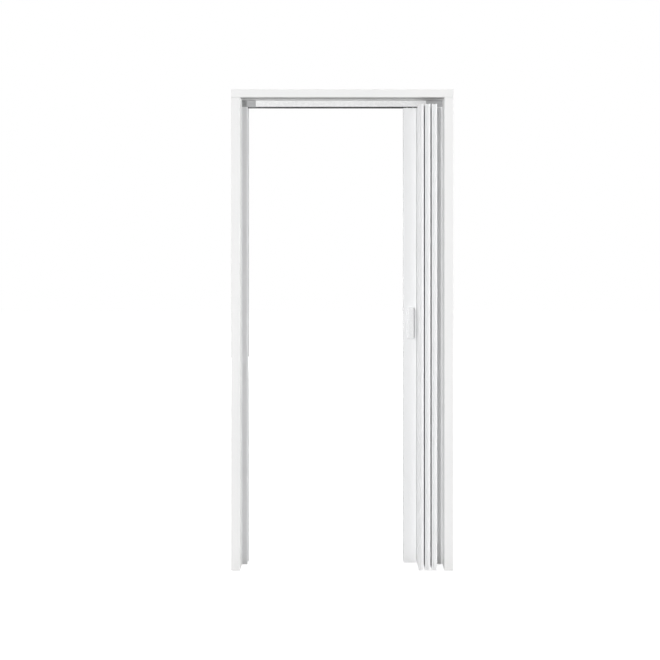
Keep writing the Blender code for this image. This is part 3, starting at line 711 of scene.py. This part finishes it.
def open_bore(face_angle):
    """The nose round a pivot, from the body's upper face to its lower one, past the bore."""
    centre = (0, 0)
    return (
        arc(centre, NOSE_RADIUS, face_angle, OPEN_FROM - LIP_TURN, MOUTH_STEPS)
        + arc(centre, BORE_RADIUS, OPEN_FROM, OPEN_TO - 2 * math.pi, BORE_STEPS)
        + arc(centre, NOSE_RADIUS, OPEN_TO + LIP_TURN, 2 * math.pi - face_angle, NOSE_STEPS)
    )


def bead(centre_x):
    """A bead at the far end of a web, from the web's lower side to its upper one."""
    neck = math.pi - math.asin(STRIP_WEB / 2 / BEAD_RADIUS)
    return arc((centre_x, 0), BEAD_RADIUS, -neck, neck, NOSE_STEPS)


def slat_loops():
    """A full slat from above: a nose with an open bore at each edge and chambers between."""
    nose = open_bore(SLAT_FACE_ANGLE)
    outline = nose + turned_about(nose, HALF_PITCH)
    end = SLAT_PITCH - CHAMBER_START
    return [outline] + chambers_between(CHAMBER_START, end, CHAMBER_HALF_HEIGHT, SLAT_CHAMBERS, SLAT_WALL)


def half_slat_loops():
    """A half slat from above: an open bore at its pivot and a bead at its far edge."""
    shoulder = HALF_PITCH - BODY_START
    face = SLAT_THICKNESS / 2
    web = STRIP_WEB / 2
    lower = [
        (shoulder - BODY_CHAMFER, -face),
        (shoulder - SHOULDER_EASE, BODY_CHAMFER - SHOULDER_EASE - face),
        (shoulder, BODY_CHAMFER - face),
    ]
    outline = open_bore(SLAT_FACE_ANGLE) + lower + [(shoulder, -web)]
    outline += bead(HALF_PITCH)
    outline += [(shoulder, web)] + [(x, -y) for x, y in reversed(lower)]
    chambers = chambers_between(
        CHAMBER_START, shoulder - CHAMBER_INSET, CHAMBER_HALF_HEIGHT, HALF_SLAT_CHAMBERS, SLAT_WALL
    )
    return [outline] + chambers


def strip_loops():
    """A hinge strip from above: two beads joined by a thin web."""
    far = bead(STRIP_PITCH)
    return [far + turned_about(far, STRIP_PITCH / 2)]


def post_outline(far_face, thickness, groove=0.0, groove_depth=0.0):
    """A post with an open bore on its near face and, if wanted, a groove in its far one."""
    half = thickness / 2
    corner = LEAD_CORNER
    steps = 2 * CORNER_STEPS
    outline = open_bore(math.acos(POST_FACE / NOSE_RADIUS))
    outline += arc((POST_FACE + corner, corner - half), corner, math.pi, 1.5 * math.pi, steps)
    outline += arc((far_face - corner, corner - half), corner, -math.pi / 2, 0, steps)
    if groove:
        outline += [
            (far_face, -groove / 2),
            (far_face - groove_depth, -groove / 2),
            (far_face - groove_depth, groove / 2),
            (far_face, groove / 2),
        ]
    outline += arc((far_face - corner, half - corner), corner, 0, math.pi / 2, steps)
    outline += arc((POST_FACE + corner, half - corner), corner, math.pi / 2, math.pi, steps)
    return outline


def lead_chamber_edges():
    """Where the lead post's three chambers begin and end, from its pivot."""
    start = POST_FACE + LEAD_WALL
    end = LEAD_FAR_FACE - GROOVE_DEPTH - LEAD_WALL
    middle = (start + end) / 2
    half = LEAD_MIDDLE_CHAMBER / 2
    return [
        (start, middle - half - LEAD_WALL),
        (middle - half, middle + half),
        (middle + half + LEAD_WALL, end),
    ]


def channel_outline():
    """A U-shaped channel that opens along +X, with rounded lips and a fine line on each flank."""
    half_outer = CHANNEL_INNER / 2 + CHANNEL_WALL
    half_inner = CHANNEL_INNER / 2
    near = CHANNEL_REACH - CHANNEL_LINE_INSET - CHANNEL_LINE_WIDTH
    far = CHANNEL_REACH - CHANNEL_LINE_INSET
    floor = half_outer - CHANNEL_LINE_DEPTH
    lower = [(0, -half_outer), (near, -half_outer), (near, -floor), (far, -floor), (far, -half_outer)]
    lip = [
        (far, -half_outer),
        (CHANNEL_REACH, -half_outer),
        (CHANNEL_REACH, -half_inner),
        (CHANNEL_BASE, -half_inner),
    ]
    lower += filleted(lip, CHANNEL_EASE, LIP_STEPS, closed=False)[1:]
    return lower + [(x, -y) for x, y in reversed(lower)]


def track_outline(wall):
    """The track's section, depth across and height up, open along its underside."""
    half = TRACK_DEPTH / 2
    slot = TRACK_SLOT / 2
    inner = half - wall
    ceiling = TRACK_HEIGHT - TRACK_WALL
    groove_top = TRACK_HEIGHT - TRACK_GROOVE_DROP
    groove_bottom = groove_top - TRACK_GROOVE_WIDTH
    groove_floor = half - TRACK_GROOVE_DEPTH
    right = [
        (slot, 0),
        (half, 0),
        (half, groove_bottom),
        (groove_floor, groove_bottom),
        (groove_floor, groove_top),
        (half, groove_top),
        (half, TRACK_HEIGHT),
    ]
    left = [(-x, y) for x, y in reversed(right)]
    inside = [
        (-slot, TRACK_LIP),
        (-inner, TRACK_LIP),
        (-inner, ceiling),
        (inner, ceiling),
        (inner, TRACK_LIP),
        (slot, TRACK_LIP),
    ]
    return filleted(right + left + inside, TRACK_EASE)


# Screws

def along(origin, direction):
    """A frame at a point, whose Z axis runs against a screw's driving direction."""
    turn = (-Vector(direction)).to_track_quat("Z", "Y").to_matrix().to_4x4()
    return Matrix.Translation(origin) @ turn


def cross_recess():
    """The tapered cross that a driver fits in."""
    top = (SCREW_HEAD_HEIGHT + RECESS_ABOVE, 1.0)
    floor = (SCREW_HEAD_HEIGHT - RECESS_DEPTH, RECESS_TAPER)
    arms = []
    for x, y in ((RECESS_HALF_WIDTH, RECESS_ARM), (RECESS_ARM, RECESS_HALF_WIDTH)):
        loops = []
        for height, share in (floor, top):
            corners = rectangle(-x * share, x * share, -y * share, y * share)
            loops.append([(*corner, height) for corner in corners])
        arms.append(lofted("recess", loops))
    return arms


def screw_mesh(name, length, flat):
    """A screw with its seat at zero: a flat or a domed head with a cross recess, and a shank."""
    rim = SCREW_HEAD_RADIUS
    top = SCREW_HEAD_HEIGHT
    head = [(0, top)]
    if flat:
        head += [(rim - FLAT_EASE, top), (rim, top - FLAT_EASE)]
        head += [(rim, top - FLAT_EDGE), (rim - FLAT_TAPER, 0.0)]
    else:
        for angle in DOME_ANGLES:
            rise = DOME_BASE + (1 - DOME_BASE) * math.cos(angle)
            head.append((rim * math.sin(angle), top * rise))
        head += [(rim, top * DOME_EDGE), (rim, 0.0)]
    shank = [
        (SHANK_RADIUS, 0.0),
        (SHANK_RADIUS, SCREW_TIP - length),
        (SHANK_RADIUS * POINT_SHARE, POINT_HEIGHT - length),
        (0, -length),
    ]
    return combined(turned(name, head + shank, SCREW_STEPS), cross_recess(), "DIFFERENCE")


def screw_hole(name, depth, sunk):
    """What a screw takes out of the piece it passes, with its seat at zero."""
    above = 2 * SCREW_HEAD_HEIGHT
    hole = SHANK_RADIUS + SEAT_GAP
    wide = SCREW_HEAD_RADIUS + SEAT_GAP
    profile = [(hole, above), (hole, -depth)]
    if sunk:
        profile = [(wide, above), (wide, -SEAT_GAP), (hole, -SEAT_GAP), (hole, -depth)]
    return turned(name, [(0, above)] + profile + [(0, -depth)], SCREW_STEPS)


def seat_of(node, direction):
    """A screw node's seat and length, from its box and its driving direction."""
    low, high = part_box(node)
    way = Vector(direction)
    axis = max(range(3), key=lambda i: abs(way[i]))
    head_end = low[axis] if way[axis] > 0 else high[axis]
    seat = (low + high) / 2
    seat[axis] = head_end + way[axis] * SCREW_HEAD_HEIGHT
    return seat, high[axis] - low[axis] - SCREW_HEAD_HEIGHT


# Every screw: its body, its driving direction, and whether its head is flat and sunk
SCREWS = {}
for side, name in ((-1, "strike_channel"), (1, "wall_channel")):
    for i in range(1, 4):
        SCREWS[f"{name}_screw_{i}"] = ("frame", (side, 0, 0), True)
for i in range(1, 4):
    SCREWS[f"track_screw_{i}"] = ("frame", (0, 0, 1), False)
for name in ("end_block_screw", "wall_end_block_screw"):
    SCREWS[name] = ("frame", (0, 0, 1), False)
for side in ("left", "right"):
    for row in ("front", "back"):
        SCREWS[f"corner_screw_{side}_{row}"] = ("frame", (0, 0, -1), True)
for place in ("lower", "upper"):
    SCREWS[f"handle_screw_{place}"] = ("lead", (0, -1, 0), True)


def drive_screws(material):
    """Every screw, on its node's seat."""
    for name, (body, direction, flat) in SCREWS.items():
        seat, length = seat_of(name, direction)
        mesh = screw_mesh(f"{name}_fine", length, flat)
        put(f"{name}_fine", mesh, body, material, name, along(seat, direction))


def bored(mesh, place, names, depth=WALL_BORE):
    """A mesh in its own frame, bored for the screws that pass it."""
    cutters = []
    for name in names:
        _, direction, sunk = SCREWS[name]
        seat, _ = seat_of(name, direction)
        cutter = screw_hole(f"{name}_hole", depth, sunk)
        cutter.transform(place.inverted() @ along(seat, direction))
        cutters.append(cutter)
    return combined(mesh, cutters, "DIFFERENCE")


# Pieces

def dress_frame():
    """Paint on the jambs and the head, with the grain along each."""
    upright = painted_timber("painted_upright", (1, 1, 0.03))
    low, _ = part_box("head")
    # The head's paint carries a line of painted shade along its underside
    level = painted_timber("painted_level", (0.03, 1, 1), (low.z, low.y + SHADE_LINE_DEPTH))
    for name, material in (("left_jamb", upright), ("right_jamb", upright), ("head", level)):
        finish_node(name, material)


def finish_node(name, material):
    """Give a node its material."""
    node = NODES[name]
    node.data.materials.clear()
    node.data.materials.append(material)


def make_track():
    """The track and the grey block at each of its ends."""
    along_x = Matrix(((0, 0, 1, 0), (1, 0, 0, 0), (0, 1, 0, 0), (0, 0, 0, 1)))
    coat = powder_coat("gloss_coat")
    grey = eroded_moulding("eroded_grey")
    rows = (
        ("track", TRACK_WALL, "track_coating", coat, [f"track_screw_{i}" for i in (1, 2, 3)]),
        ("track_end_block", END_BLOCK_WALL, "grey_moulding", grey, ["end_block_screw"]),
        ("wall_end_block", END_BLOCK_WALL, "grey_moulding", grey, ["wall_end_block_screw"]),
    )
    for node, wall, slot, material, screws in rows:
        low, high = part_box(node)
        place = Matrix.Translation((low.x, 0, low.z)) @ along_x
        mesh = extruded(f"{node}_fine", [track_outline(wall)], high.x - low.x)
        mesh = bored(mesh, place, screws, TRACK_BORE)
        put(f"{node}_fine", mesh, "frame", material, node, place)


def make_channels(material):
    """The channels on the two linings."""
    for side, node in ((-1, "strike_channel"), (1, "wall_channel")):
        low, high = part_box(node)
        foot = (low.x if side < 0 else high.x, 0, low.z)
        place = Matrix.Translation(foot) @ Matrix.Rotation(math.pi if side > 0 else 0, 4, "Z")
        mesh = extruded(f"{node}_fine", [channel_outline()], high.z - low.z)
        mesh = bored(mesh, place, [f"{node}_screw_{i}" for i in (1, 2, 3)])
        put(f"{node}_fine", mesh, "frame", material, node, place)


def make_stile(material):
    """The fixed post in the right channel."""
    low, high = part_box("fixed_stile")
    pivot = PIVOTS["wall_slat"]
    far_face = high.x - pivot.x
    thickness = high.y - low.y
    hollow = rectangle(
        POST_FACE + LEAD_WALL, far_face - LEAD_WALL,
        LEAD_WALL - thickness / 2, thickness / 2 - LEAD_WALL,
    )
    loops = [post_outline(far_face, thickness), filleted(hollow, STILE_CHAMBER_EASE, EASE_STEPS)]
    mesh = extruded("fixed_stile_fine", mirrored(loops), high.z - low.z)
    place = Matrix.Translation((pivot.x, pivot.y, low.z))
    put("fixed_stile_fine", mesh, "frame", material, "fixed_stile", place)


def make_slats(slat_material, half_material, strip_material):
    """Every slat, half slat and hinge strip."""
    low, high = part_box("slat_1")
    height = high.z - low.z
    for body in PIVOTS:
        if body == "lead":
            continue
        if body.startswith("strip"):
            node = f"hinge_{body}"
            loops, slot, material = strip_loops(), "hinge_vinyl", strip_material
        elif body == "wall_slat":
            node = "wall_half_slat"
            loops = [turned_about(loop, HALF_PITCH / 2) for loop in half_slat_loops()]
            slot, material = "slat_vinyl", half_material
        elif body == "lead_slat":
            node = "lead_half_slat"
            loops, slot, material = half_slat_loops(), "slat_vinyl", half_material
        else:
            node = body
            loops, slot, material = slat_loops(), "slat_vinyl", slat_material
        if not body.startswith("strip") and not heads_forward(body):
            loops = mirrored(loops)
        mesh = extruded(f"{node}_fine", loops, height)
        put(f"{node}_fine", mesh, body, material, node, at_pivot(body, low.z))


def glider_profile(top):
    """A glider's outline from its puck's top down to its seat, in heights above that seat."""
    bottom = top - PUCK_HEIGHT
    points = [(0, top)] + [(PUCK_RADIUS - inset, top - drop) for inset, drop in PUCK_RIM]
    points += [
        (PUCK_RADIUS, bottom),
        (PIN_RADIUS, bottom),
        (PIN_RADIUS, FLANGE_HEIGHT),
        (FLANGE_RADIUS, FLANGE_HEIGHT),
        (FLANGE_RADIUS, 0),
        (PIN_RADIUS, 0),
    ]
    return filleted(points, GLIDER_EASE, EASE_STEPS, closed=False)


def make_gliders(material):
    """Every glider, in the track and on the piece it carries."""
    names = [(f"glider_{i}", f"slat_{i}") for i in range(1, 5)]
    names += [("lead_glider_near", "lead"), ("lead_glider_far", "lead")]
    inside = SLAT_PITCH - 2 * CHAMBER_START - (SLAT_CHAMBERS - 1) * SLAT_WALL
    plug_x = (inside / SLAT_CHAMBERS - 2 * SEAT_GAP) / 2
    plug_y = CHAMBER_HALF_HEIGHT - SEAT_GAP
    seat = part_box("slat_1")[1].z + SEAT_GAP
    for node, body in names:
        low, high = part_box(node)
        centre = (low + high) / 2
        end = low.z - seat
        profile = glider_profile(high.z - seat)
        if body == "lead":
            profile += [(PIN_RADIUS, end + PIN_EASE), (PIN_RADIUS - PIN_EASE, end), (0, end)]
            mesh = turned(f"{node}_fine", profile)
        else:
            mesh = turned(f"{node}_fine", profile[:-1] + [(0, 0)])
            corners = ((-plug_x, -plug_y, end), (plug_x, plug_y, FLANGE_HEIGHT / 2))
            mesh = combined(mesh, [eased_box("plug", *corners, GLIDER_PLUG_EASE)], "UNION")
        turn = at_pivot(body).to_3x3().to_4x4()
        place = Matrix.Translation((centre.x, centre.y, seat)) @ turn
        put(f"{node}_fine", mesh, body, material, node, place)


def make_cap(node, material):
    """A cap on the lead post's end, with its rim eased and a plug in each outer chamber."""
    low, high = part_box(node)
    under = node == "lead_bottom_cap"
    base = low.z if under else high.z - CAP_THICKNESS
    corner = LEAD_CORNER
    half = LEAD_THICKNESS / 2

    def rim(inset, height):
        points = []
        for x, y, start in (
            (LEAD_FAR_FACE - corner, corner - half, -math.pi / 2),
            (LEAD_FAR_FACE - corner, half - corner, 0),
            (POST_FACE + corner, half - corner, math.pi / 2),
            (POST_FACE + corner, corner - half, math.pi),
        ):
            points += arc((x, y), corner - inset, start, start + math.pi / 2, CORNER_STEPS)
        return [(x, y, height) for x, y in points]

    steps = rounding(CAP_EASE, (0.0, 0.4, 0.8, 1.2, math.pi / 2))
    if under:
        rows = [rim(inset, drop) for inset, drop in steps] + [rim(0, CAP_THICKNESS)]
    else:
        rows = [rim(0, 0)] + [rim(inset, CAP_THICKNESS - drop) for inset, drop in reversed(steps)]
    mesh = lofted(f"{node}_fine", rows)
    depth = half - LEAD_WALL - SEAT_GAP
    bottom, top = sorted(((high.z if under else low.z) - base, CAP_THICKNESS / 2))
    plugs = []
    chambers = lead_chamber_edges()
    for start, end in (chambers[0], chambers[-1]):
        corners = ((start + SEAT_GAP, -depth, bottom), (end - SEAT_GAP, depth, top))
        plugs.append(eased_box("plug", *corners, PLUG_EASE, 2))
    mesh = combined(mesh, plugs, "UNION")
    place = at_pivot("lead", base)
    if not under:
        radius = PIN_RADIUS + SEAT_GAP
        profile = [(0, PIN_HOLE), (radius, PIN_HOLE), (radius, -PIN_HOLE), (0, -PIN_HOLE)]
        holes = []
        for glider in ("lead_glider_near", "lead_glider_far"):
            g_low, g_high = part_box(glider)
            hole = turned("hole", profile, SCREW_STEPS)
            spot = place.inverted() @ Vector(((g_low.x + g_high.x) / 2, 0, base))
            hole.transform(Matrix.Translation(spot))
            holes.append(hole)
        mesh = combined(mesh, holes, "DIFFERENCE")
    put(f"{node}_fine", mesh, "lead", material, node, place)


def make_lead(post_material, cap_material, magnet_material):
    """The lead post with its caps and magnet."""
    low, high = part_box("lead_post")
    half = LEAD_THICKNESS / 2
    loops = [post_outline(LEAD_FAR_FACE, LEAD_THICKNESS, GROOVE_WIDTH, GROOVE_DEPTH)]
    for start, end in lead_chamber_edges():
        chamber = rectangle(start, end, LEAD_WALL - half, half - LEAD_WALL)
        loops.append(filleted(chamber, LEAD_CHAMBER_EASE, EASE_STEPS))
    if heads_forward("lead_slat"):
        loops = mirrored(loops)
    mesh = extruded("lead_post_fine", loops, high.z - low.z)
    put("lead_post_fine", mesh, "lead", post_material, "lead_post", at_pivot("lead", low.z))
    make_cap("lead_top_cap", cap_material)
    make_cap("lead_bottom_cap", cap_material)
    low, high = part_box("magnet_strip")
    size = high - low
    mesh = eased_box("magnet_strip_fine", -size / 2, size / 2, MAGNET_EASE)
    middle = Matrix.Translation((low + high) / 2)
    put("magnet_strip_fine", mesh, "lead", magnet_material, "magnet_strip", middle)


def make_handle(node, material):
    """A pull handle: a softly crowned grip on a narrower stem."""
    low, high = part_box(node)
    centre = (low + high) / 2
    out = -1 if centre.y < 0 else 1
    depth = high.y - low.y
    half_width = HANDLE_WIDTH / 2
    half_height = (high.z - low.z) / 2
    back = depth - HANDLE_GRIP
    levels = rounding(HANDLE_BEVEL, [math.pi / 2 * k / HANDLE_STEPS for k in range(HANDLE_STEPS + 1)])
    rows = [(inset, back + drop) for inset, drop in levels]
    for inset, drop in reversed(levels):
        sunk = GRIP_CROWN if inset < GRIP_INNER else GRIP_CROWN / 2
        rows.append((inset, depth - drop - sunk))
    rows += [(inset, depth - drop) for inset, drop in GRIP_FACE]
    loops = []
    for inset, level in rows:
        turn = max(HANDLE_CORNER - inset, HANDLE_LEAST_CORNER)
        x, z = half_width - inset - turn, half_height - inset - turn
        points = []
        for quarter, centre_xz in enumerate(((x, z), (-x, z), (-x, -z), (x, -z))):
            start = quarter * math.pi / 2
            points += arc(centre_xz, turn, start, start + math.pi / 2, HANDLE_STEPS)
        loops.append([(px, out * level, pz) for px, pz in points])
    grip = lofted(f"{node}_fine", loops)
    stem_half = HANDLE_STEM_WIDTH / 2
    rise = half_height - HANDLE_STEM_MARGIN
    ends = sorted((0.0, out * (back + HANDLE_GRIP / 2)))
    corners = ((-stem_half, ends[0], -rise), (stem_half, ends[1], rise))
    stem = eased_box("stem", *corners, STEM_EASE, 2)
    mesh = combined(grip, [stem], "UNION")
    face = low.y if out > 0 else high.y
    place = Matrix.Translation((centre.x, face, centre.z))
    if node == "back_handle":
        mesh = bored(mesh, place, ["handle_screw_lower", "handle_screw_upper"], HANDLE_BORE)
    put(f"{node}_fine", mesh, "lead", material, node, place)


# Stage and light

def seen_rays(tree):
    """1 for the rays of the camera, of gloss and through glass, which see the white background."""
    rays = tree.nodes.new("ShaderNodeLightPath")
    seen = rays.outputs["Is Camera Ray"]
    for name in ("Is Glossy Ray", "Is Transmission Ray"):
        either = tree.nodes.new("ShaderNodeMath")
        either.operation = "MAXIMUM"
        tree.links.new(seen, either.inputs[0])
        tree.links.new(rays.outputs[name], either.inputs[1])
        seen = either.outputs[0]
    return seen


def show(tree, lighting, seen, output_type):
    """Feed a tree's output with one shader for what lights the object and one for what is seen."""
    mixed = tree.nodes.new("ShaderNodeMixShader")
    tree.links.new(seen_rays(tree), mixed.inputs[0])
    tree.links.new(lighting.outputs[0], mixed.inputs[1])
    tree.links.new(seen.outputs[0], mixed.inputs[2])
    output = tree.nodes.new(output_type)
    tree.links.new(mixed.outputs[0], output.inputs["Surface"])


def make_floor():
    """A pale floor that looks white and keeps the door's shadow."""
    mesh = bpy.data.meshes.new("floor")
    corners = rectangle(-FLOOR_REACH, FLOOR_REACH, -FLOOR_REACH, FLOOR_REACH)
    mesh.from_pydata([(x, y, -FLOOR_SINK) for x, y in corners], [], [(0, 1, 2, 3)])
    floor = placed("floor", mesh)
    material = bpy.data.materials.new("floor")
    material.use_nodes = True
    tree = material.node_tree
    tree.nodes.clear()
    matt = tree.nodes.new("ShaderNodeBsdfDiffuse")
    matt.inputs["Color"].default_value = (FLOOR_BOUNCE, FLOOR_BOUNCE, FLOOR_BOUNCE, 1)
    seen = tree.nodes.new("ShaderNodeBsdfDiffuse")
    seen.inputs["Color"].default_value = (FLOOR_TONE, FLOOR_TONE, FLOOR_TONE, 1)
    glow = tree.nodes.new("ShaderNodeEmission")
    glow.inputs["Strength"].default_value = FLOOR_GLOW
    both = tree.nodes.new("ShaderNodeAddShader")
    tree.links.new(seen.outputs[0], both.inputs[0])
    tree.links.new(glow.outputs[0], both.inputs[1])
    show(tree, matt, both, "ShaderNodeOutputMaterial")
    mesh.materials.append(material)


def make_world():
    """Pale light from above and around, little from below, and white to whatever sees it."""
    world = bpy.data.worlds.new("studio")
    bpy.context.scene.world = world
    world.use_nodes = True
    tree = world.node_tree
    tree.nodes.clear()
    place = tree.nodes.new("ShaderNodeTexCoord")
    split = tree.nodes.new("ShaderNodeSeparateXYZ")
    tree.links.new(place.outputs["Generated"], split.inputs[0])
    rise = tree.nodes.new("ShaderNodeMapRange")
    rise.interpolation_type = "SMOOTHSTEP"
    tree.links.new(split.outputs["Z"], rise.inputs["Value"])
    limits = zip(("From Min", "From Max", "To Min", "To Max"), (*HORIZON, WORLD_BELOW, WORLD_ABOVE))
    for name, value in limits:
        rise.inputs[name].default_value = value
    light = tree.nodes.new("ShaderNodeBackground")
    tree.links.new(rise.outputs["Result"], light.inputs["Strength"])
    shown = tree.nodes.new("ShaderNodeBackground")
    shown.inputs["Strength"].default_value = 1.0
    for background in (light, shown):
        background.inputs["Color"].default_value = (1, 1, 1, 1)
    show(tree, light, shown, "ShaderNodeOutputWorld")


def make_lamp(name, place, size, power):
    """A soft lamp aimed at the doorway's middle, and unseen by the camera."""
    data = bpy.data.lights.new(name, "AREA")
    data.shape = "RECTANGLE"
    data.size, data.size_y = size
    data.energy = power
    lamp = placed(name, data)
    lamp.location = place
    lamp.rotation_euler = (Vector(LAMP_TARGET) - Vector(place)).to_track_quat("-Z", "Y").to_euler()
    lamp.visible_camera = False


def main():
    """Camera, pieces, stage and light."""
    add_camera()
    rib_pitch = (SLAT_PITCH - 2 * CHAMBER_START + SLAT_WALL) / SLAT_CHAMBERS
    rib_start = CHAMBER_START - SLAT_WALL / 2
    slat_vinyl = vinyl("slat_vinyl", SLAT_WHITES, 0.52, rib_start, rib_pitch)
    post_vinyl = vinyl("post_vinyl", POST_WHITES, 0.52)
    hinge_vinyl = vinyl("hinge_vinyl", HINGE_WHITES, 0.54)
    channel_vinyl = vinyl("channel_vinyl", POST_WHITES, 0.5)
    dress_frame()
    make_track()
    make_channels(channel_vinyl)
    make_stile(post_vinyl)
    make_slats(slat_vinyl, post_vinyl, hinge_vinyl)
    nylon = natural_nylon("natural_nylon")
    make_gliders(nylon)
    finish_node("track_stop", nylon)
    make_lead(post_vinyl, gloss_moulding("cap_moulding"), magnet_rubber("dark_magnet"))
    handle_finish = gloss_moulding("handle_moulding")
    for node in ("front_handle", "back_handle"):
        make_handle(node, handle_finish)
    finish_node("keeper_strip", galvanised("galvanised_strip"))
    drive_screws(zinc_plate("zinc_plate"))
    make_floor()
    make_world()
    for name, place, size, power in LAMPS:
        make_lamp(name, place, size, power)
    bpy.context.scene.view_settings.view_transform = "Standard"


main()
